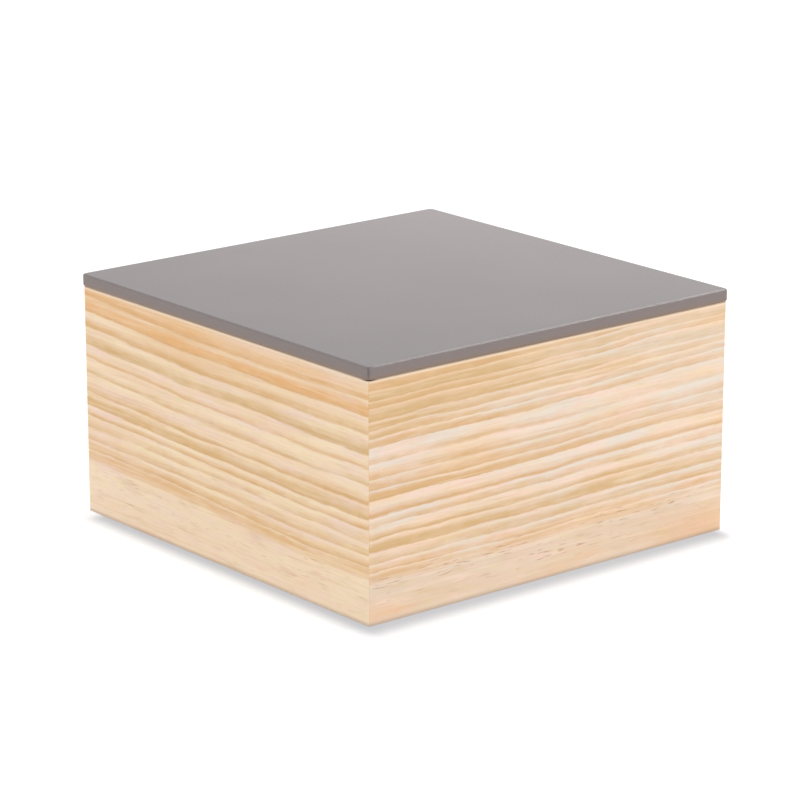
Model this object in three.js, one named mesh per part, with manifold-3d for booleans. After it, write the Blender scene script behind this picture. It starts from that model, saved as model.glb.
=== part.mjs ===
// A square pine box with a painted lid that lifts off.
// Four boards are mitred at the corners, with a hidden tongue across each mitre. A plywood base sits in a
// groove round their inside. Four battens pinned under the lid hold it in place between the boards.
// Lengths are in millimetres. +Z is up, the front faces -Y, and the origin is at the centre of the
// footprint, on the surface that the box stands on.

import * as THREE from "three";
import { mergeVertices } from "three/addons/utils/BufferGeometryUtils.js";
import Module from "manifold-3d";

// The case
const caseWidth = 180;
const caseDepth = 180;
const caseHeight = 94;
const wallThickness = 9;
const outerArris = 0.7;
const innerArris = 0.5;
const glueLine = 0.1;

// The base and its groove
const baseThickness = 4;
const baseRise = 5;
const baseCorner = 1;
const grooveDepth = 4.5;
const grooveSlack = 0.15;
const baseEdgeSlack = 0.4;

// The tongues hidden in the mitres
const tongueThickness = 3;
const tongueWidth = 8;
const tongueSlack = 0.1;
const tongueFromOutside = 6;
const tongueBelow = 5;
const tongueAbove = 9;

// The lid
const lidThickness = 5;
const lidOverhang = 0.65;
const lidCorner = 2;
const lidArris = 0.8;

// The battens under the lid
const battenWidth = 8;
const battenHeight = 6;
const battenLeadIn = 1.5;
const battenArris = 0.4;
const battenFit = 0.6;

// The pins that hold each batten to the lid
const pinLength = 9;
const pinRadius = 0.6;
const pinPoint = 1.4;
const pinHeadRadius = 1.1;
const pinHeadThickness = 0.5;
const pinSlack = 0.05;
const pinFromEnd = 34;

// How far a cutter reaches past the face that it cuts
const overrun = 1;

const arcSteps = 4;
const cornerSteps = 8;
const pinSides = 12;
const quarterTurn = Math.PI / 2;
const eighthTurn = Math.PI / 4;

const pine = new THREE.MeshStandardMaterial({ color: 0xe6c49a, roughness: 0.6, metalness: 0 });
const plywood = new THREE.MeshStandardMaterial({ color: 0xdcbf95, roughness: 0.7, metalness: 0 });
const lidPaint = new THREE.MeshStandardMaterial({ color: 0x867f7d, roughness: 0.45, metalness: 0 });
const pinSteel = new THREE.MeshStandardMaterial({ color: 0xa7a9ab, roughness: 0.35, metalness: 1 });

const wasm = await Module();
wasm.setup();

// Solids are joined and cut with manifold-3d, and go back to three.js as geometries.
function solid(geometry) {
  const bare = geometry.clone();
  bare.deleteAttribute("normal");
  bare.deleteAttribute("uv");
  const merged = mergeVertices(bare);
  const vertProperties = new Float32Array(merged.attributes.position.array);
  const triVerts = new Uint32Array(merged.index.array);
  return new wasm.Manifold(new wasm.Mesh({ numProp: 3, vertProperties, triVerts }));
}

function cut(geometry, cutters) {
  let kept = solid(geometry);
  for (const cutter of cutters) kept = kept.subtract(solid(cutter));
  const made = kept.getMesh();
  const result = new THREE.BufferGeometry();
  result.setAttribute("position", new THREE.BufferAttribute(made.vertProperties, made.numProp));
  result.setIndex(new THREE.BufferAttribute(made.triVerts, 1));
  const faceted = result.toNonIndexed();
  faceted.computeVertexNormals();
  return faceted;
}

function roundedRectangle(width, height, radius) {
  const x = width / 2 - radius;
  const y = height / 2 - radius;
  const outline = new THREE.Shape();
  outline.moveTo(x, -y - radius);
  outline.absarc(x, -y, radius, -quarterTurn, 0);
  outline.absarc(x, y, radius, 0, quarterTurn);
  outline.absarc(-x, y, radius, quarterTurn, 2 * quarterTurn);
  outline.absarc(-x, -y, radius, 2 * quarterTurn, 3 * quarterTurn);
  return outline;
}

// A flat plate on z = 0 with rounded corners and, where arris isn't zero, rounded edges.
function plate(width, depth, thickness, corner, arris) {
  const outline = roundedRectangle(width - 2 * arris, depth - 2 * arris, corner - arris);
  const made = new THREE.ExtrudeGeometry(outline, {
    depth: thickness - 2 * arris,
    bevelEnabled: arris > 0,
    bevelThickness: arris,
    bevelSize: arris,
    bevelSegments: arcSteps,
    curveSegments: cornerSteps,
  });
  return made.translate(0, 0, arris);
}

// A board whose section is drawn as depth from its outer face against height. It runs along X over its
// length, with its outer face on y = 0, and each end is drawn in by the depth, which mitres it.
function mitredBoard(section, length) {
  const half = length / 2 - glueLine / Math.SQRT2;
  const board = new THREE.ExtrudeGeometry(section, {
    depth: length,
    bevelEnabled: false,
    curveSegments: arcSteps,
  });
  const position = board.attributes.position;
  for (let i = 0; i < position.count; i += 1) {
    const depth = position.getX(i);
    const height = position.getY(i);
    const end = position.getZ(i) > length / 2 ? 1 : -1;
    position.setXYZ(i, end * (half - depth), depth, height);
  }
  board.computeVertexNormals();
  return board;
}

// What rounding the sharp end of a mitred board takes off, at the end that end says.
function cornerWaste(length, height, radius, end) {
  const outline = new THREE.Shape();
  outline.moveTo(-radius, 0);
  outline.absarc(-radius, radius, radius, -quarterTurn, 0);
  outline.lineTo(overrun, radius);
  outline.lineTo(overrun, -overrun);
  outline.lineTo(-radius, -overrun);
  const waste = new THREE.ExtrudeGeometry(outline, {
    depth: height + 2 * overrun,
    bevelEnabled: false,
    curveSegments: cornerSteps,
  });
  if (end < 0) waste.rotateZ(-quarterTurn);
  return waste.translate((end * length) / 2, 0, -overrun);
}

const grooveBottom = baseRise - grooveSlack;
const grooveTop = baseRise + baseThickness + grooveSlack;

function wallSection() {
  const inside = wallThickness;
  const section = new THREE.Shape();
  section.moveTo(outerArris, 0);
  section.lineTo(inside - innerArris, 0);
  section.absarc(inside - innerArris, innerArris, innerArris, -quarterTurn, 0);
  section.lineTo(inside, grooveBottom);
  section.lineTo(inside - grooveDepth, grooveBottom);
  section.lineTo(inside - grooveDepth, grooveTop);
  section.lineTo(inside, grooveTop);
  section.lineTo(inside, caseHeight - innerArris);
  section.absarc(inside - innerArris, caseHeight - innerArris, innerArris, 0, quarterTurn);
  section.lineTo(outerArris, caseHeight);
  section.absarc(outerArris, caseHeight - outerArris, outerArris, quarterTurn, 2 * quarterTurn);
  section.lineTo(0, outerArris);
  section.absarc(outerArris, outerArris, outerArris, 2 * quarterTurn, 3 * quarterTurn);
  return section;
}

// A tongue stands upright, centred on the origin, with its width along X and round ends.
const tongueBottom = grooveTop + tongueBelow;
const tongueTop = caseHeight - tongueAbove;
const tongueMiddle = (tongueBottom + tongueTop) / 2;

function tongue(slack) {
  const thickness = tongueThickness + 2 * slack;
  const height = tongueTop - tongueBottom + 2 * slack;
  const width = tongueWidth + 2 * slack;
  const outline = roundedRectangle(thickness, height, thickness / 2);
  const made = new THREE.ExtrudeGeometry(outline, {
    depth: width,
    bevelEnabled: false,
    curveSegments: arcSteps,
  });
  return made.translate(0, 0, -width / 2).rotateX(quarterTurn).rotateZ(quarterTurn);
}

function tongueSlot(length, end) {
  const slot = tongue(tongueSlack).rotateZ(end * eighthTurn);
  return slot.translate(end * (length / 2 - tongueFromOutside), tongueFromOutside, tongueMiddle);
}

function wall(length) {
  const cutters = [-1, 1].flatMap((end) => [
    cornerWaste(length, caseHeight, outerArris, end),
    tongueSlot(length, end),
  ]);
  return cut(mitredBoard(wallSection(), length), cutters);
}

// A pin stands on its head, with its point up.
function pin(slack) {
  const shank = pinRadius + slack;
  const head = pinHeadRadius + slack;
  const profile = [
    new THREE.Vector2(0, 0),
    new THREE.Vector2(head, 0),
    new THREE.Vector2(head, pinHeadThickness + slack),
    new THREE.Vector2(shank, pinHeadThickness + slack),
    new THREE.Vector2(shank, pinLength - pinPoint + slack),
    new THREE.Vector2(0, pinLength + slack),
  ];
  return new THREE.LatheGeometry(profile, pinSides).rotateX(quarterTurn);
}

// What a pin's hole takes out, with its mouth run on past the face that the head is flush with.
function pinHole(x, y, z) {
  const head = pinHeadRadius + pinSlack;
  const mouth = new THREE.CylinderGeometry(head, head, overrun + pinHeadThickness, pinSides);
  mouth.rotateX(quarterTurn).translate(0, 0, (pinHeadThickness - overrun) / 2);
  return [pin(pinSlack), mouth].map((cutter) => cutter.translate(x, y, z));
}

function battenSection() {
  const section = new THREE.Shape();
  section.moveTo(battenLeadIn, -battenHeight);
  section.lineTo(battenWidth - battenArris, -battenHeight);
  section.absarc(battenWidth - battenArris, battenArris - battenHeight, battenArris, -quarterTurn, 0);
  section.lineTo(battenWidth, 0);
  section.lineTo(0, 0);
  section.lineTo(0, battenLeadIn - battenHeight);
  return section;
}

function pinPlaces(length) {
  return [-1, 1].map((end) => end * (length / 2 - pinFromEnd));
}

function batten(length) {
  const holes = pinPlaces(length).flatMap((x) => pinHole(x, battenWidth / 2, -battenHeight));
  return cut(mitredBoard(battenSection(), length), holes);
}

// The four sides that boards and battens stand on, each turned to face inwards.
function sides(width, depth) {
  return [
    { name: "front", length: width, x: 0, y: -depth / 2, turn: 0 },
    { name: "right", length: depth, x: width / 2, y: 0, turn: quarterTurn },
    { name: "back", length: width, x: 0, y: depth / 2, turn: 2 * quarterTurn },
    { name: "left", length: depth, x: -width / 2, y: 0, turn: 3 * quarterTurn },
  ];
}

function place(mesh, side) {
  mesh.position.set(side.x, side.y, 0);
  mesh.rotation.z = side.turn;
  return mesh;
}

function named(name, geometry, material) {
  const mesh = new THREE.Mesh(geometry, material);
  mesh.name = name;
  return mesh;
}

function makeCase() {
  const group = new THREE.Group();
  for (const side of sides(caseWidth, caseDepth)) {
    group.add(place(named(`${side.name}_wall`, wall(side.length), pine), side));
  }

  const reach = grooveDepth - wallThickness - baseEdgeSlack;
  const panel = plate(caseWidth + 2 * reach, caseDepth + 2 * reach, baseThickness, baseCorner, 0);
  const base = named("base_panel", panel, plywood);
  base.position.z = baseRise;
  group.add(base);

  for (const [endY, nameY] of [[-1, "front"], [1, "back"]]) {
    for (const [endX, nameX] of [[-1, "left"], [1, "right"]]) {
      const key = named(`corner_tongue_${nameY}_${nameX}`, tongue(0), plywood);
      const x = endX * (caseWidth / 2 - tongueFromOutside);
      const y = endY * (caseDepth / 2 - tongueFromOutside);
      key.position.set(x, y, tongueMiddle);
      key.rotation.z = -endX * endY * eighthTurn;
      group.add(key);
    }
  }
  return group;
}

// The lid's own origin is on its underside, which rests on the case.
function makeLid() {
  const group = new THREE.Group();
  const inset = wallThickness + battenFit;
  const battenSides = sides(caseWidth - 2 * inset, caseDepth - 2 * inset);
  const pinHoles = [];
  const pinZ = -battenHeight;

  for (const side of battenSides) {
    group.add(place(named(`lid_batten_${side.name}`, batten(side.length), pine), side));
    const turned = new THREE.Matrix4().makeRotationZ(side.turn).setPosition(side.x, side.y, 0);
    pinPlaces(side.length).forEach((along, index) => {
      const at = new THREE.Vector3(along, battenWidth / 2, pinZ).applyMatrix4(turned);
      const nail = named(`lid_pin_${side.name}_${index + 1}`, pin(0), pinSteel);
      nail.position.copy(at);
      group.add(nail);
      pinHoles.push(pin(pinSlack).translate(at.x, at.y, at.z));
    });
  }

  const width = caseWidth + 2 * lidOverhang;
  const depth = caseDepth + 2 * lidOverhang;
  const top = plate(width, depth, lidThickness, lidCorner, lidArris);
  group.add(named("lid_panel", cut(top, pinHoles), lidPaint));
  group.position.z = caseHeight;
  return group;
}

const box = new THREE.Group();
box.add(makeCase(), makeLid());

export default box;
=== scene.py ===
"""A square pine box with a thin lid in taupe-grey paint, on a white floor.

Lengths are in metres. Inside a material they are in millimetres, where grain is easier to picture: every
board has its own coordinates, along its length, in from its outer face and up.
"""

import math

import bmesh
import bpy
from mathutils import Matrix, Vector


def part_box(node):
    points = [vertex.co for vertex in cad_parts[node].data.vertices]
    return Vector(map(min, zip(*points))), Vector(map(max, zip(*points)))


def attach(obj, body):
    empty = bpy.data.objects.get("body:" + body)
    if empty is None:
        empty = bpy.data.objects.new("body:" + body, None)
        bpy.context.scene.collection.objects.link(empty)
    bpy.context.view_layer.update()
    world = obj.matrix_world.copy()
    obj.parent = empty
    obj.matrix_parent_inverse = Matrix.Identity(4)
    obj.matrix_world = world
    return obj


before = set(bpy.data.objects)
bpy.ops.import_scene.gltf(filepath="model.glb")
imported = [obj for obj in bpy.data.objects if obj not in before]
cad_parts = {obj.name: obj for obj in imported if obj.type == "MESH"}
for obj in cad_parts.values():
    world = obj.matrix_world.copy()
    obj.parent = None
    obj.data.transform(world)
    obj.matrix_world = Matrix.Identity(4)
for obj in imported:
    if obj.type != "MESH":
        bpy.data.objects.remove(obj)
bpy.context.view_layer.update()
case_half = -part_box("front_wall")[0].y
case_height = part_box("front_wall")[1].z
lid_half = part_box("lid_panel")[1].x
lid_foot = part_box("lid_panel")[0].z
lid_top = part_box("lid_panel")[1].z
base_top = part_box("base_panel")[1].z

MM = 1000.0


def colour(red, green, blue):
    """The shader's colour for one given in a screen's values, from 0 to 255."""
    shares = [value / 255 for value in (red, green, blue)]
    linear = [s / 12.92 if s <= 0.04045 else ((s + 0.055) / 1.055) ** 2.4 for s in shares]
    return (*linear, 1.0)


# The camera, solved from the long straight edges of the box in the photograph
CAMERA_PLACE = (-0.8483, -1.0287, 0.4358)
CAMERA_AZIMUTH = math.radians(-39.47)
CAMERA_ELEVATION = math.radians(16.13)
CAMERA_LENS = 157.1
CAMERA_SENSOR = 36.0

# The floor: half its width, how white it is as it lights the box, and how white it is as it is seen, with
# the glow that lifts it there and the tone of the shade round the box's foot
FLOOR_HALF = 4.0
FLOOR_WHITE = 0.88
FLOOR_SEEN = 0.45
FLOOR_LIFT = 0.74
FLOOR_SHADE = colour(197, 198, 202)
WHITE = colour(255, 255, 255)

# Past each wall of the case, how far out the floor's shade starts to fade and where it ends. One shade lies
# before the left and front walls, and a shorter one behind the box
SHADE_FADES = dict(
    left=(0.0007, 0.011),
    front=(0.0017, 0.0157),
    right=(-0.006, 0.0035),
    back=(-0.013, -0.002),
)
BACK_FADES = dict(
    left=(-0.013, -0.002),
    front=(-0.02, -0.006),
    right=(0.0004, 0.008),
    back=(0.0004, 0.008),
)

# The light: a white room, dim overhead and bright in front of the box, and three soft lamps. One stands
# high on the right, one is only seen as a glint along the lid's front edge, and one hangs over the far
# corner
ROOM_LIGHT = 1.2
OVERHEAD_SHARE = 0.3
FRONT_SHARE = 1.6
FRONT_WAY = Vector((-0.62, -0.76, 0.18)).normalized()
RIGHT_LAMP = dict(place=(1.85, -0.85, 2.2), size=0.6, power=13.0)
GLINT_LAMP = dict(place=(2.15, 0.75, 2.1), size=1.4, power=19.0)
FAR_LAMP = dict(place=(0.18, 0.15, 0.37), size=0.2, power=0.62)

# Growth rings from a board's top edge down: each one's width in millimetres, how dark it grows, and the
# share of its width that stays pale
RINGS_SIDE = (
    (8.6, 0.75, 0.5), (5.7, 0.85, 0.15), (6.8, 0.8, 0.45), (7.5, 0.77, 0.35), (5.5, 0.64, 0.65),
    (6.5, 0.63, 0.62), (7.2, 0.85, 0.6), (5.3, 0.85, 0.2), (3.7, 0.73, 0.45), (4.8, 0.4, 0.4),
    (5.3, 0.55, 0.4), (4.5, 0.65, 0.3), (4.9, 0.75, 0.0),
)
RINGS_FRONT = (
    (4.8, 0.75, 0.2), (4.0, 0.85, 0.1), (2.6, 0.9, 0.1), (5.3, 0.75, 0.2), (3.0, 0.7, 0.1),
    (3.1, 0.65, 0.2), (3.5, 0.75, 0.2), (6.5, 0.55, 0.6), (5.5, 0.66, 0.4), (4.0, 0.72, 0.15),
    (4.0, 0.95, 0.15), (6.2, 1.0, 0.6), (3.6, 0.45, 0.3), (4.9, 0.75, 0.5), (5.2, 0.8, 0.2),
    (4.6, 0.65, 0.2), (3.8, 0.6, 0.2), (4.5, 0.55, 0.1),
)
RING_ABOVE = (12, 0.7, 0.5)
RING_BELOW = (36, 0.0, 1.0)

# The two boards that the walls are cut from. Grain runs on round the corners of each pair of walls. A board
# has its rings, its pale wood, the two tans of its rings, and the colour of its foot. Then come the place
# along it where its warm patch hangs deepest and the stretch over which the patch fades, how strong its
# rings are near the corner and high up far from it, how much they bow at the foot, the share of a ring that
# its dark edge takes, and how much blush and how many pores show near the foot
SIDE_BOARD = dict(
    rings=RINGS_SIDE,
    pale=colour(253, 229, 194),
    tans=(colour(240, 184, 122), colour(222, 186, 130)),
    foot=colour(250, 227, 198),
    warm_deepest=-85,
    warm_ends=(-130, 0),
    strengths=(1.0, 1.0),
    low_bow=1.0,
    edge_share=0.14,
    blush=0.0,
    pore_share=0.5,
    seed=11.0,
)
FRONT_BOARD = dict(
    rings=RINGS_FRONT,
    pale=colour(237, 225, 212),
    tans=(colour(227, 180, 128), colour(218, 182, 130)),
    foot=colour(229, 205, 179),
    warm_deepest=0,
    warm_ends=(50, 130),
    strengths=(1.15, 0.62),
    low_bow=0.35,
    edge_share=0.19,
    blush=0.5,
    pore_share=1.0,
    seed=23.0,
)

# How a wall's rings run, in millimetres: in a slow wave, lowest at the near corner and full above the foot,
# rising inwards by a slope, and wandering. Each wander has its size along, in and up, and how far it shifts
# a ring
WAVE_LENGTH = 540
WAVE_DEPTH = 5.3
WAVE_HEIGHTS = (10, 80)
RING_SLOPE = 0.8
WANDERS = (((80, 30, 24), 2.4), ((24, 9, 6), 0.85), ((4.5, 3, 1.5), 0.4))

# Where a wall's rings lose strength: far along the board above these heights, and at the last ring's end
FAR_STRETCH = (10, 160)
FAR_HEIGHTS = (38, 52)
LAST_RING_FADE = 3.5
LAST_RING_LEFT = 0.25

# The warm patch: how far down it hangs in its middle and at its sides, and how far aside those are
WARM_DEPTHS = (28, 14)
WARM_ASIDE = (25, 110)

# A wall's foot: the heights where its own colour fades in, how its patches fade in round the end of the last
# ring, the heights between which its pores, its peach and its blush show, and the blush's stretch
FOOT_FADE = (20, 12)
PATCHES_FADE = (3, -2)
PORES_FROM = (5, 9)
PORES_TO = (19, 24)
PORE_SLANT = 0.06
PEACH_HEIGHTS = (2, 12)
BLUSH_HEIGHTS = (5, 18)
BLUSH_STRETCH = (120, 175)

# How far from its edge each painted mark on a wall shows: the painted shade along its foot, the painted
# highlight along its eased top, and the painted shade under the lid, darkest within a stretch of the near
# corner
WALL_FOOT_SHADE_HEIGHTS = (0.6, 2.2)
TOP_HIGHLIGHT_DOWN = (1.6, 0.8)
TOP_HIGHLIGHT_IN = (0.5, 1.2)
GAP_SHADE_DOWN = (1.6, 0.5)
GAP_SHADE_STRETCH = (1.0, 5.0)

# The size of what varies in a wall's wood, along, in and up, in millimetres
SLOW_FADES = (34, 16, 7)
QUICK_FADES = (9, 6, 3)
CLOUDS = (70, 20, 10)
PINK_CLOUDS = (30, 9, 5)
MOTTLE = (11, 5, 2.4)
FOOT_PATCHES = (20, 9, 4)
STREAKS = (55, 2.4, 1.3)
FIBRES = (20, 0.8, 0.4)
PORES = (7, 1.4, 0.6)
PORE_PATCHES = (30, 10, 7)
PEACHES = (60, 30, 12)

# The colours of pine, from its pale wood to its pores and marks, and the painted shade and highlight on its
# edges
PINE_CLOUD = colour(248, 217, 184)
PINE_PINK = colour(250, 222, 204)
MOTTLE_ROSE = colour(248, 210, 192)
MOTTLE_STRAW = colour(236, 218, 168)
FOOT_DUN = colour(222, 190, 156)
FOOT_PALE = colour(250, 222, 206)
WARM_PATCH = colour(238, 198, 150)
RING_EDGE = colour(208, 162, 108)
STREAK_DARK = colour(226, 184, 136)
STREAK_PALE = colour(255, 238, 214)
FIBRE_DARK = colour(206, 164, 118)
FIBRE_PALE = colour(255, 242, 224)
PORE = colour(190, 136, 104)
PEACH = colour(246, 196, 152)
BLUSH = colour(236, 182, 130)
WALL_FOOT_SHADE = colour(186, 163, 143)
PAINTED_TOP_HIGHLIGHT = colour(255, 232, 206)
PAINTED_SHADE_UNDER_LID = colour(88, 56, 38)

# The sticks under the lid: the width, slopes and wandering of their rings, their fibres and their colours
STICK_RING = 1.9
STICK_SLOPE_IN = 0.55
STICK_SLOPE_ALONG = 0.012
STICK_WANDER = ((60, 14, 10), 1.6)
STICK_FIBRES = (20, 0.8, 0.5)
STICK_PALE = colour(247, 222, 190)
STICK_TANS = (colour(232, 186, 132), colour(224, 186, 138))

# The plywood: the hills of its veneer with the rings that each takes, a slope, its fibres and its colours
VENEER_HILLS = ((34, 120, 60), 9.0)
VENEER_SLOPE = 0.02
VENEER_FIRST_RING = 20.0
VENEER_FIBRES = (0.7, 14, 0.7)
VENEER_PALE = colour(238, 216, 180)
VENEER_TANS = (colour(222, 188, 142), colour(226, 180, 136))
VENEER_DARK = colour(196, 156, 112)
VENEER_LIGHT = colour(250, 234, 206)
PLY_EDGE = colour(222, 206, 190)

# The lid's paint: what varies in it, its colours with those of its painted shade and bounce light, and how
# many millimetres from the lid's rim, foot or top each of its changes starts and is full
PAINT_CLOUDS = (50, 50, 50)
PAINT_SPECKS = (1.6, 1.6, 1.6)
PAINT_PEEL = (0.9, 0.9, 0.9)
PAINT = (colour(126, 118, 118), colour(129, 121, 121))
PAINT_SPECK = colour(146, 139, 139)
PAINTED_CORNER_SHADE = colour(98, 91, 90)
PAINTED_SIDE_BOUNCE = colour(132, 120, 116)
PAINTED_LOW_EDGE_SHADE = colour(142, 116, 98)
CORNER_SHADE_FADE = (1.6, 0.5)
SIDE_BOUNCE_FADE = (0.5, 0.1)
LOW_EDGE_FADE_OUT = (0.9, 0.4)
LOW_EDGE_FADE_DOWN = (2.2, 0.3)
RUBBED_FADE = (1.0, 0.7)

# The pins and the glue, with what varies in them
STEEL_SCRATCHES = (0.12, 0.12, 2.5)
STEEL_SPOTS = (1.2, 1.2, 1.2)
STEEL = (colour(206, 207, 208), colour(168, 168, 168))
GLUE_BLOTCHES = (3, 3, 7)
GLUE = (colour(236, 200, 152), colour(214, 172, 124))

# How high each surface's relief stands, in metres
WALL_RELIEF = 0.00004
STICK_RELIEF = 0.00003
VENEER_RELIEF = 0.00004
PAINT_RELIEF = 0.000012
STEEL_RELIEF = 0.00001

# How far the light runs smoothly round the lid's edges, in metres
LID_ROUNDING = 0.0014

# How far off the lid still brings on the painted shade in the gap under it, in metres
GAP_SHADE_REACH = 0.0016

# The glue in the mitres, in metres: how far it reaches in along the mitre, outside and inside the tongue
GLUE_THICKNESS = 0.000094
GLUE_OUTER = (0.00035, 0.006)
GLUE_INNER = (0.0105, 0.0124)
GLUE_END = 0.0015


class Graph:
    """A node tree with one short call for each kind of node. Each call returns the output it makes."""

    def __init__(self, tree):
        self.tree = tree
        tree.nodes.clear()

    def feed(self, socket, value):
        if isinstance(value, bpy.types.NodeSocket):
            self.tree.links.new(value, socket)
        else:
            socket.default_value = value

    def add(self, kind, *values, **settings):
        node = self.tree.nodes.new(kind)
        for name, value in settings.items():
            setattr(node, name, value)
        for socket, value in zip(node.inputs, values):
            if value is not None:
                self.feed(socket, value)
        return node

    def math(self, operation, *values):
        return self.add("ShaderNodeMath", *values, operation=operation).outputs[0]

    def plus(self, a, b):
        return self.math("ADD", a, b)

    def minus(self, a, b):
        return self.math("SUBTRACT", a, b)

    def times(self, a, b):
        return self.math("MULTIPLY", a, b)

    def smooth(self, value, low, high, to_low=0.0, to_high=1.0):
        node = self.add("ShaderNodeMapRange", interpolation_type="SMOOTHSTEP")
        for name, given in (
            ("Value", value),
            ("From Min", low),
            ("From Max", high),
            ("To Min", to_low),
            ("To Max", to_high),
        ):
            self.feed(node.inputs[name], given)
        return node.outputs["Result"]

    def mix(self, a, b, share):
        node = self.add("ShaderNodeMix", data_type="RGBA")
        self.feed(node.inputs[0], share)
        self.feed(node.inputs[6], a)
        self.feed(node.inputs[7], b)
        return node.outputs[2]

    def vary(self, base, noise, high, low, start, full, most, where=1.0):
        """The base, with one colour where noise is high and another where it is low, up to their shares."""
        for tone, way, share in ((high, 1, most[0]), (low, -1, most[1])):
            part = self.smooth(noise, way * start, way * full, 0.0, share)
            base = self.mix(base, tone, self.times(where, part))
        return base

    def tint(self, a, b):
        node = self.add("ShaderNodeMix", data_type="RGBA", blend_type="MULTIPLY")
        self.feed(node.inputs[0], 1.0)
        self.feed(node.inputs[6], a)
        self.feed(node.inputs[7], b)
        return node.outputs[2]

    def axes(self, vector):
        """The three parts of a vector. On a board they are along, in and up."""
        return self.add("ShaderNodeSeparateXYZ", vector).outputs

    def mapped(self, vector, location=(0, 0, 0), turn=0.0, scale=(1, 1, 1)):
        node = self.add("ShaderNodeMapping", vector, location, (0, 0, turn), scale)
        return node.outputs[0]

    def noise(self, vector, size, seed=0.0, detail=2.0, roughness=0.5):
        """Noise about zero, from -1 to 1, whose features have this size along each axis."""
        place = self.mapped(vector, (seed, seed, seed), 0.0, [1 / length for length in size])
        node = self.add("ShaderNodeTexNoise", place)
        self.feed(node.inputs["Scale"], 1.0)
        self.feed(node.inputs["Detail"], detail)
        self.feed(node.inputs["Roughness"], roughness)
        return self.times(self.minus(node.outputs[0], 0.5), 2.0)

    def chances(self, number, seed):
        """Three numbers from 0 to 1, picked by chance for each whole number."""
        node = self.add("ShaderNodeTexWhiteNoise", noise_dimensions="1D")
        self.feed(node.inputs["W"], self.plus(number, seed))
        return self.add("ShaderNodeSeparateColor", node.outputs["Color"]).outputs

    def bump(self, height, distance, normal=None):
        node = self.add("ShaderNodeBump")
        self.feed(node.inputs["Height"], height)
        self.feed(node.inputs["Distance"], distance)
        if normal is not None:
            self.feed(node.inputs["Normal"], normal)
        return node.outputs[0]

    def surface(self, **values):
        shader = self.add("ShaderNodeBsdfPrincipled")
        for name, value in values.items():
            self.feed(shader.inputs[name.replace("_", " ")], value)
        output = self.add("ShaderNodeOutputMaterial")
        self.tree.links.new(shader.outputs[0], output.inputs[0])


def material(name):
    made = bpy.data.materials.new(name)
    made.use_nodes = True
    return made, Graph(made.node_tree)


def here_in_mm(g):
    return g.mapped(g.add("ShaderNodeTexCoord").outputs["Object"], scale=(MM, MM, MM))


def board_place(g, side):
    """Millimetres along a wall's outer face, in from it and up. Sides count from -1 at the left."""
    half = MM * case_half
    here = g.add("ShaderNodeTexCoord").outputs["Object"]
    along = half + side * 2 * half
    return g.mapped(here, (along, half, 0), -side * math.pi / 2, (MM, MM, MM))


def short_of(g, value, end, fade):
    """Grows from 0 to 1 as a value nears its end, between two distances short of it."""
    start, full = fade
    return g.smooth(value, end - start, end - full)


def ring_total(rings):
    return sum(width for width, _, _ in rings)


def ring_count(g, down, rings):
    """How many growth rings lie above this depth. It is whole at each ring's dark edge."""
    total = ring_total(rings)
    curve = g.add("ShaderNodeFloatCurve")
    points = curve.mapping.curves[0].points
    reached = 0
    for index, ring in enumerate(rings[:-1]):
        reached += ring[0]
        points.new(reached / total, (index + 1) / len(rings))
    points[0].location = (0, 0)
    points[len(points) - 1].location = (1, 1)
    for point in points:
        point.handle_type = "VECTOR"
    curve.mapping.update()
    g.feed(curve.inputs["Factor"], 1.0)
    g.feed(curve.inputs["Value"], g.times(g.plus(down, rings[0][0]), 1 / total))
    return g.times(curve.outputs[0], len(rings))


def ring_look(g, ring, rings):
    """How dark each ring grows and the share of it that stays pale, looked up by its whole number."""
    lookup = g.add("ShaderNodeValToRGB", g.times(g.plus(ring, 0.5), 1 / len(rings)))
    ramp = lookup.color_ramp
    ramp.interpolation = "CONSTANT"
    ramp.elements.remove(ramp.elements[1])
    for index, (_, dark, pale) in enumerate(rings):
        element = ramp.elements.new(index / len(rings)) if index else ramp.elements[0]
        element.color = (dark, pale, 0, 1)
    return g.add("ShaderNodeSeparateColor", lookup.outputs[0]).outputs[:2]


def ring_depth(g, place, board):
    """How far a point lies down the board's stack of rings, which bow, slope and wander."""
    along, depth, up = g.axes(place)
    wave = g.math("COSINE", g.times(along, 2 * math.pi / WAVE_LENGTH))
    bow = g.times(g.minus(1.0, wave), WAVE_DEPTH / 2)
    bow = g.times(bow, g.smooth(up, *WAVE_HEIGHTS, board["low_bow"], 1.0))
    down = g.plus(g.minus(MM * case_height, up), bow)
    down = g.plus(down, g.times(depth, RING_SLOPE))
    for size, shift in WANDERS:
        down = g.plus(down, g.times(g.noise(place, size, board["seed"]), shift))
    return down


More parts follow.
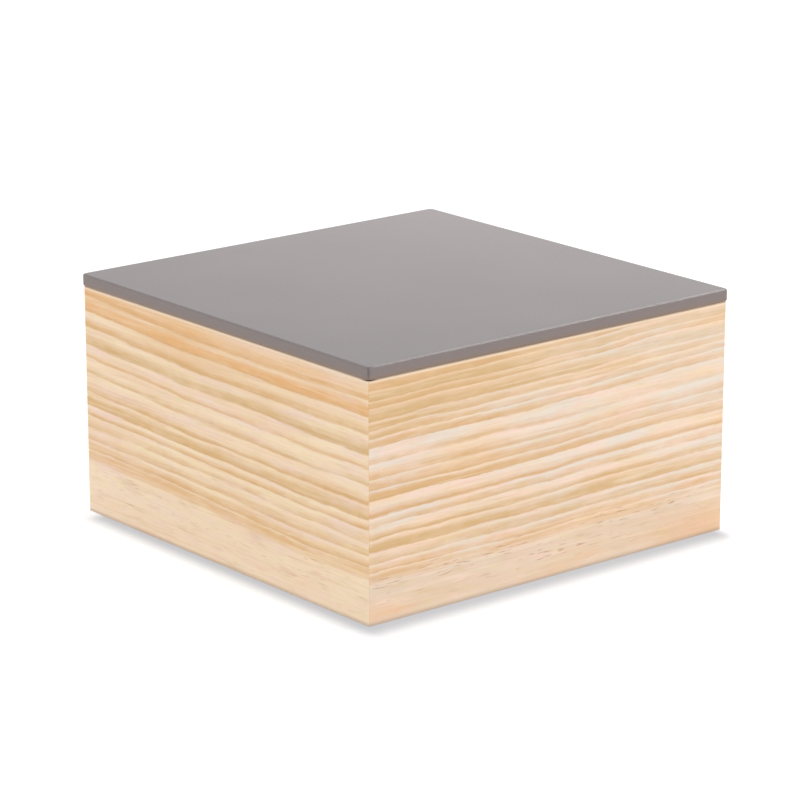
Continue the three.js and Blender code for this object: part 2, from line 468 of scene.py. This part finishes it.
def ring_marks(g, place, down, board):
    """How dark a wall's rings and the lines at their edges are, and the hue of each ring."""
    along, _, up = g.axes(place)
    seed = board["seed"]
    last = ring_total(board["rings"])
    rings = (RING_ABOVE, *board["rings"], RING_BELOW)
    count = ring_count(g, down, rings)
    ring = g.math("FLOOR", count)
    share = g.math("FRACT", count)
    dark, pale_share = ring_look(g, ring, rings)
    _, _, hue = g.chances(ring, seed)

    # The rings come and go along the board. They are fainter at its foot, and high up at its far end
    quick = g.times(g.noise(place, QUICK_FADES, seed + 4, 3.0), 0.7)
    fading = g.plus(g.noise(place, SLOW_FADES, seed + 3), quick)
    strength = g.math("MAXIMUM", g.plus(dark, g.times(fading, 0.6)), 0.0)
    strength = g.times(strength, g.smooth(down, last - LAST_RING_FADE, last, 1.0, LAST_RING_LEFT))
    near_strength, far_strength = board["strengths"]
    far_strength = g.smooth(up, *FAR_HEIGHTS, 1.0, far_strength)
    strength = g.times(strength, g.smooth(along, *FAR_STRETCH, near_strength, far_strength))

    # Each ring darkens slowly to a dark edge, and the next starts pale
    edge = g.smooth(share, 1.0 - board["edge_share"], 1.0, 1.0, 0.0)
    band = g.times(g.smooth(share, g.minus(pale_share, 0.3), g.plus(pale_share, 0.35)), edge)
    line = g.times(g.smooth(share, 0.6, 0.88), edge)
    return g.times(band, strength), g.times(line, strength), hue


def pale_pine(g, place, down, board):
    """The wood between the rings, clouded and mottled, and patchy below the last ring."""
    seed = board["seed"]
    height = MM * case_height
    last = ring_total(board["rings"])
    clouds = g.noise(place, CLOUDS, seed)
    pink_clouds = g.noise(place, PINK_CLOUDS, seed + 9)
    wood = g.mix(board["pale"], PINE_CLOUD, g.smooth(clouds, -0.25, 0.35))
    wood = g.mix(wood, PINE_PINK, g.smooth(pink_clouds, -0.1, 0.4))
    wood = g.mix(wood, board["foot"], g.times(short_of(g, down, height, FOOT_FADE), 0.75))
    mottle = g.noise(place, MOTTLE, seed + 7)
    wood = g.vary(wood, mottle, MOTTLE_ROSE, MOTTLE_STRAW, 0.05, 0.45, (0.38, 0.38))
    patches = g.noise(place, FOOT_PATCHES, seed + 6)
    flat = short_of(g, down, last, PATCHES_FADE)
    return g.vary(wood, patches, FOOT_DUN, FOOT_PALE, 0.05, 0.5, (0.5, 0.6), flat)


def warm_patch(g, place, down, board):
    """Where the wood is warmer, in a patch that hangs from the top edge."""
    along, _, _ = g.axes(place)
    aside = g.math("ABSOLUTE", g.minus(along, board["warm_deepest"]))
    reach = g.smooth(aside, *WARM_ASIDE, *WARM_DEPTHS)
    warm = g.smooth(down, reach, g.times(reach, 0.4), 0.0, 0.7)
    return g.times(warm, g.smooth(along, *board["warm_ends"], 1.0, 0.15))


def foot_marks(g, wood, place, board):
    """The short dark pores of a wall, most near its foot, and the foot's peach and blush."""
    along, _, up = g.axes(place)
    seed = board["seed"]
    low = g.times(g.smooth(up, *PORES_TO, 1.0, 0.0), g.smooth(up, *PORES_FROM))
    patch = g.smooth(g.noise(place, PORE_PATCHES, seed + 2), -0.1, 0.2)
    pore = g.noise(g.mapped(place, turn=PORE_SLANT), PORES, seed, 1.0)
    pores = g.times(g.times(low, patch), board["pore_share"])
    pores = g.times(g.smooth(pore, 0.2, 0.42), g.plus(g.times(pores, 0.55), 0.1))
    wood = g.mix(wood, PORE, pores)
    peach = g.smooth(g.noise(place, PEACHES, seed + 5), 0.0, 0.35)
    peach = g.times(peach, g.smooth(up, *PEACH_HEIGHTS, 1.0, 0.0))
    wood = g.mix(wood, PEACH, g.times(peach, 0.5))
    blushed = g.smooth(along, *BLUSH_STRETCH, 0.0, board["blush"])
    blushed = g.times(blushed, g.smooth(up, *BLUSH_HEIGHTS, 1.0, 0.0))
    return g.mix(wood, BLUSH, blushed)


def edge_marks(g, wood, place):
    """The painted shade and highlight along a wall's edges."""
    along, depth, up = g.axes(place)
    height = MM * case_height

    # The edge that the case stands on is painted darker: a painted shade where it meets the floor
    wood = g.mix(wood, WALL_FOOT_SHADE, g.smooth(up, *WALL_FOOT_SHADE_HEIGHTS, 0.5, 0.0))

    # The eased top edge is painted paler: a painted highlight where it catches the light
    top_highlight = g.times(short_of(g, up, height, TOP_HIGHLIGHT_DOWN), g.smooth(depth, *TOP_HIGHLIGHT_IN, 1.0, 0.0))
    wood = g.mix(wood, PAINTED_TOP_HIGHLIGHT, g.times(top_highlight, 0.75))

    # A painted shade darkens the wall under the lid's overhang, darkest over the near mitre
    covered = g.add("ShaderNodeAmbientOcclusion", samples=8)
    g.feed(covered.inputs["Distance"], GAP_SHADE_REACH)
    gap_shade = g.smooth(g.math("ABSOLUTE", along), *GAP_SHADE_STRETCH, 1.0, 0.4)
    gap_shade = g.times(gap_shade, short_of(g, up, height, GAP_SHADE_DOWN))
    gap_shade = g.times(gap_shade, g.smooth(covered.outputs["AO"], 0.7, 0.95, 1.0, 0.0))
    return g.mix(wood, PAINTED_SHADE_UNDER_LID, gap_shade)


def pine_wall(name, side, board):
    """Flat-sawn pine, with its rings, streaks, fibres and pores, and painted shade and highlight on its
    edges.
    """
    made, g = material(name)
    place = board_place(g, side)
    down = ring_depth(g, place, board)
    late, line, hue = ring_marks(g, place, down, board)
    wood = pale_pine(g, place, down, board)
    wood = g.mix(wood, WARM_PATCH, warm_patch(g, place, down, board))
    wood = g.mix(wood, g.mix(*board["tans"], hue), late)
    wood = g.mix(wood, RING_EDGE, g.times(line, 0.38))
    streak = g.noise(place, STREAKS, board["seed"], 3.0)
    wood = g.vary(wood, streak, STREAK_DARK, STREAK_PALE, 0.0, 0.6, (0.45, 0.45))
    fibre = g.noise(place, FIBRES, board["seed"], 3.0, 0.65)
    wood = g.vary(wood, fibre, FIBRE_DARK, FIBRE_PALE, 0.1, 0.7, (0.5, 0.5))
    wood = foot_marks(g, wood, place, board)
    wood = edge_marks(g, wood, place)
    rough = g.plus(0.56, g.times(fibre, 0.08))
    relief = g.plus(g.times(late, 0.5), g.times(fibre, 0.35))
    g.surface(Base_Color=wood, Roughness=rough, Normal=g.bump(relief, WALL_RELIEF))
    return made


def chance_rings(g, count, pale, tans, seed, first_dark, edge_from, least):
    """Wood whose rings are picked by chance. Each darkens towards its edge from a place of its own."""
    ring = g.math("FLOOR", count)
    share = g.math("FRACT", count)
    strength, start, hue = g.chances(ring, seed)
    start = g.plus(g.times(start, 0.5), first_dark)
    band = g.times(g.smooth(share, start, 0.95), g.smooth(share, edge_from, 1.0, 1.0, 0.0))
    late = g.times(band, g.plus(g.times(strength, 0.5), least))
    return g.mix(pale, g.mix(*tans, hue), late)


def pine_stick(name, side, seed):
    """Pine sawn into a thin stick, with close straight rings that run out slowly along it."""
    made, g = material(name)
    place = board_place(g, side)
    along, depth, up = g.axes(place)
    size, shift = STICK_WANDER
    wander = g.times(g.noise(place, size, seed), shift)
    sloped = g.plus(wander, g.times(along, STICK_SLOPE_ALONG))
    across = g.plus(g.plus(g.times(depth, STICK_SLOPE_IN), up), sloped)
    count = g.plus(g.times(across, 1 / STICK_RING), seed)
    shape = dict(first_dark=0.1, edge_from=0.9, least=0.4)
    wood = chance_rings(g, count, STICK_PALE, STICK_TANS, seed, **shape)
    fibre = g.noise(place, STICK_FIBRES, seed, 3.0, 0.65)
    wood = g.vary(wood, fibre, FIBRE_DARK, FIBRE_PALE, 0.1, 0.7, (0.5, 0.5))
    rough = g.plus(0.62, g.times(fibre, 0.1))
    g.surface(Base_Color=wood, Roughness=rough, Normal=g.bump(fibre, STICK_RELIEF))
    return made


def plywood(name, plies, turn, seed):
    """Veneer with the wavy contours of a peeled log on its faces, and its plies in dark and pale edges."""
    made, g = material(name)
    here = g.mapped(here_in_mm(g), turn=turn)
    across, _, up = g.axes(here)
    size, rings = VENEER_HILLS
    hills = g.times(g.noise(here, size, seed, 1.5), rings)
    count = g.plus(g.plus(hills, g.times(across, VENEER_SLOPE)), VENEER_FIRST_RING)
    shape = dict(first_dark=0.0, edge_from=0.88, least=0.25)
    wood = chance_rings(g, count, VENEER_PALE, VENEER_TANS, seed, **shape)
    fibre = g.noise(here, VENEER_FIBRES, seed, 3.0, 0.65)
    wood = g.vary(wood, fibre, VENEER_DARK, VENEER_LIGHT, 0.15, 0.7, (0.55, 0.4))

    # Every other ply shows its dark end grain at the edges
    ply = g.math("FLOOR", g.times(up, plies))
    crossed = g.math("PINGPONG", ply, 1.0)
    facing = g.axes(g.add("ShaderNodeNewGeometry").outputs["Normal"])[2]
    side_on = g.smooth(g.math("ABSOLUTE", facing), 0.9, 0.6)
    wood = g.mix(wood, g.tint(wood, PLY_EDGE), g.times(side_on, crossed))
    rough = g.plus(0.66, g.times(fibre, 0.1))
    g.surface(Base_Color=wood, Roughness=rough, Normal=g.bump(fibre, VENEER_RELIEF))
    return made


def painted_lid():
    """Satin paint, rolled and sanded, with a faint peel, a rubbed upper edge, and painted shade and bounce
    light.
    """
    made, g = material("lid_paint")
    here = here_in_mm(g)
    x, y, up = g.axes(here)
    rim = MM * lid_half
    cloud = g.noise(here, PAINT_CLOUDS, 3.0)
    speck = g.noise(here, PAINT_SPECKS, 5.0, 3.0)
    peel = g.noise(here, PAINT_PEEL, 7.0, 2.0)
    base = g.mix(*PAINT, g.smooth(cloud, -0.5, 0.5))
    base = g.mix(base, PAINT_SPECK, g.smooth(speck, 0.1, 0.6, 0.0, 0.3))

    # Painted shade darkens the paint on the rounded corners
    sides = [g.math("ABSOLUTE", way) for way in (x, y)]
    corner = g.times(*[short_of(g, side, rim, CORNER_SHADE_FADE) for side in sides])
    base = g.mix(base, PAINTED_CORNER_SHADE, g.times(corner, 0.9))

    # Painted bounce light from the pine warms the sides, and a painted shade with more of that warm light
    # lies along their lower edge
    outer = g.math("MAXIMUM", *sides)
    base = g.mix(base, PAINTED_SIDE_BOUNCE, g.times(short_of(g, outer, rim, SIDE_BOUNCE_FADE), 0.9))
    start, full = LOW_EDGE_FADE_DOWN
    low = g.smooth(up, MM * lid_foot + start, MM * lid_foot + full)
    low_edge_shade = g.times(short_of(g, outer, rim, LOW_EDGE_FADE_OUT), low)
    base = g.mix(base, PAINTED_LOW_EDGE_SHADE, g.times(low_edge_shade, 0.7))

    # Hands have rubbed its upper edge smoother
    rubbed = g.times(short_of(g, outer, rim, RUBBED_FADE), short_of(g, up, MM * lid_top, RUBBED_FADE))
    rough = g.plus(g.minus(0.42, g.times(rubbed, 0.2)), g.times(peel, 0.06))
    rounded = g.add("ShaderNodeBevel", LID_ROUNDING, samples=8).outputs[0]
    g.surface(Base_Color=base, Roughness=rough, Normal=g.bump(peel, PAINT_RELIEF, rounded))
    return made


def pin_steel():
    """Drawn wire, scratched along its length and dull in places."""
    made, g = material("pin_steel")
    here = here_in_mm(g)
    scratch = g.noise(here, STEEL_SCRATCHES, 2.0, 3.0, 0.6)
    dull = g.noise(here, STEEL_SPOTS, 4.0)
    base = g.mix(*STEEL, g.smooth(dull, -0.4, 0.5))
    rough = g.plus(0.34, g.times(scratch, 0.12))
    g.surface(Base_Color=base, Metallic=1.0, Roughness=rough, Normal=g.bump(scratch, STEEL_RELIEF))
    return made


def dried_glue():
    """Glue gone hard, a little blotched."""
    made, g = material("dried_glue")
    blotch = g.noise(here_in_mm(g), GLUE_BLOTCHES, 6.0)
    base = g.mix(*GLUE, g.smooth(blotch, -0.4, 0.4))
    g.surface(Base_Color=base, Roughness=g.plus(0.45, g.times(blotch, 0.1)))
    return made


def glue_line(name, corner, turn, made):
    """What shows of the glue in one mitre: a thin upright strip outside its tongue and one inside."""
    mesh = bpy.data.meshes.new(name)
    shape = bmesh.new()
    for (near, far), low in ((GLUE_OUTER, 0.0), (GLUE_INNER, base_top)):
        strip = bmesh.ops.create_cube(shape, size=1.0)["verts"]
        size = (far - near, GLUE_THICKNESS, case_height - low - 2 * GLUE_END)
        middle = ((near + far) / 2, 0, (case_height + low) / 2)
        bmesh.ops.transform(shape, matrix=Matrix.LocRotScale(middle, None, size), verts=strip)
    place = Matrix.Translation(corner) @ Matrix.Rotation(turn, 4, "Z")
    bmesh.ops.transform(shape, matrix=place, verts=shape.verts)
    shape.to_mesh(mesh)
    shape.free()
    mesh.materials.append(made)
    piece = bpy.data.objects.new(name, mesh)
    bpy.context.scene.collection.objects.link(piece)
    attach(piece, "case")


def make_camera():
    data = bpy.data.cameras.new("camera")
    data.lens = CAMERA_LENS
    data.sensor_width = CAMERA_SENSOR
    camera = bpy.data.objects.new("camera", data)
    flat = math.cos(CAMERA_ELEVATION)
    back = Vector(
        (
            math.sin(CAMERA_AZIMUTH) * flat,
            -math.cos(CAMERA_AZIMUTH) * flat,
            math.sin(CAMERA_ELEVATION),
        )
    )
    camera.location = CAMERA_PLACE
    camera.rotation_mode = "QUATERNION"
    camera.rotation_quaternion = (-back).to_track_quat("-Z", "Y")
    bpy.context.scene.collection.objects.link(camera)
    bpy.context.scene.camera = camera


def seen_directly(g):
    """One for what is seen, also in a mirror or through glass, and nothing for what lights the box."""
    rays = g.add("ShaderNodeLightPath").outputs
    seen = rays["Is Camera Ray"]
    for kind in ("Is Glossy Ray", "Is Transmission Ray"):
        seen = g.math("MAXIMUM", seen, rays[kind])
    return seen


def foot_shade(g, left, front, right, back):
    """The case's square foot as a soft shade from 0 to 1, with its own fade past each wall."""
    x, y, _ = g.axes(g.add("ShaderNodeTexCoord").outputs["Object"])
    shade = 1.0
    for way, low, high in ((x, left, right), (y, front, back)):
        shade = g.times(shade, g.smooth(g.minus(-case_half, way), *low, 1.0, 0.0))
        shade = g.times(shade, g.smooth(g.minus(way, case_half), *high, 1.0, 0.0))
    return shade


def make_floor():
    half = FLOOR_HALF
    mesh = bpy.data.meshes.new("floor")
    corners = [(-half, -half, 0), (half, -half, 0), (half, half, 0), (-half, half, 0)]
    mesh.from_pydata(corners, [], [(0, 1, 2, 3)])
    floor = bpy.data.objects.new("floor", mesh)
    bpy.context.scene.collection.objects.link(floor)
    made, g = material("floor")

    # The floor's colour holds a painted shadow, darker close to the case and furthest out in front
    shaded = g.math("MAXIMUM", foot_shade(g, **SHADE_FADES), foot_shade(g, **BACK_FADES))
    shade = g.mix(WHITE, FLOOR_SHADE, shaded)

    # What the camera and mirrors see is shaded and lifted to white. The box is lit by the plain floor
    seen = seen_directly(g)
    plain = (FLOOR_WHITE, FLOOR_WHITE, FLOOR_WHITE, 1)
    lit = (FLOOR_SEEN, FLOOR_SEEN, FLOOR_SEEN, 1)
    diffuse = g.add("ShaderNodeBsdfDiffuse", g.mix(plain, g.tint(shade, lit), seen))
    glow = g.add("ShaderNodeEmission", shade, g.times(seen, FLOOR_LIFT))
    both = g.add("ShaderNodeAddShader", diffuse.outputs[0], glow.outputs[0])
    output = g.add("ShaderNodeOutputMaterial")
    g.tree.links.new(both.outputs[0], output.inputs[0])
    mesh.materials.append(made)


def make_room_light():
    world = bpy.data.worlds.new("studio")
    bpy.context.scene.world = world
    world.use_nodes = True
    g = Graph(world.node_tree)
    looking = g.add("ShaderNodeTexCoord").outputs["Generated"]
    facing = g.add("ShaderNodeVectorMath", looking, FRONT_WAY, operation="DOT_PRODUCT")
    level = g.axes(looking)[2]
    overhead = g.smooth(level, 0.2, 0.8, ROOM_LIGHT, ROOM_LIGHT * OVERHEAD_SHARE)
    light = g.times(overhead, g.smooth(facing.outputs["Value"], 0.3, 0.95, 1.0, FRONT_SHARE))

    # No part of the room looks darker than white
    strength = g.math("MAXIMUM", light, seen_directly(g))
    background = g.add("ShaderNodeBackground", WHITE, strength)
    output = g.add("ShaderNodeOutputWorld")
    g.tree.links.new(background.outputs[0], output.inputs[0])


def make_lamp(name, place, size, power):
    """A round lamp that points at the box."""
    data = bpy.data.lights.new(name, "AREA")
    data.shape = "DISK"
    data.size = size
    data.energy = power
    lamp = bpy.data.objects.new(name, data)
    lamp.location = place
    lamp.rotation_mode = "QUATERNION"
    lamp.rotation_quaternion = (-Vector(place)).to_track_quat("-Z", "Y")
    bpy.context.scene.collection.objects.link(lamp)
    return lamp


def dress(node, made):
    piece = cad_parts[node]
    piece.data.materials.clear()
    piece.data.materials.append(made)


make_camera()
make_floor()
make_room_light()
make_lamp("right_lamp", **RIGHT_LAMP)
make_lamp("glint_lamp", **GLINT_LAMP).visible_diffuse = False
make_lamp("far_lamp", **FAR_LAMP).visible_glossy = False

sides = (("left", -1), ("front", 0), ("right", 1), ("back", 2))
boards = {"left": SIDE_BOARD, "front": FRONT_BOARD, "right": FRONT_BOARD, "back": SIDE_BOARD}
for word, side in sides:
    dress(f"{word}_wall", pine_wall(f"{word}_wall", side, boards[word]))
    dress(f"lid_batten_{word}", pine_stick(f"lid_batten_{word}", side, 3.0 + side))
dress("base_panel", plywood("base_veneer", 0.75, 0.0, 5.0))
dress("lid_panel", painted_lid())
steel = pin_steel()
for word, _ in sides:
    for number in (1, 2):
        dress(f"lid_pin_{word}_{number}", steel)
glue = dried_glue()
for corner_y, word_y in ((-case_half, "front"), (case_half, "back")):
    for corner_x, word_x in ((-case_half, "left"), (case_half, "right")):
        corner = f"{word_y}_{word_x}"
        inwards = math.atan2(-corner_y, -corner_x)
        dress(f"corner_tongue_{corner}", plywood(f"tongue_{corner}", 1.0, -inwards, 8.0))
        glue_line(f"glue_line_{corner}", (corner_x, corner_y, 0), inwards, glue)

bpy.context.scene.view_settings.view_transform = "Standard"
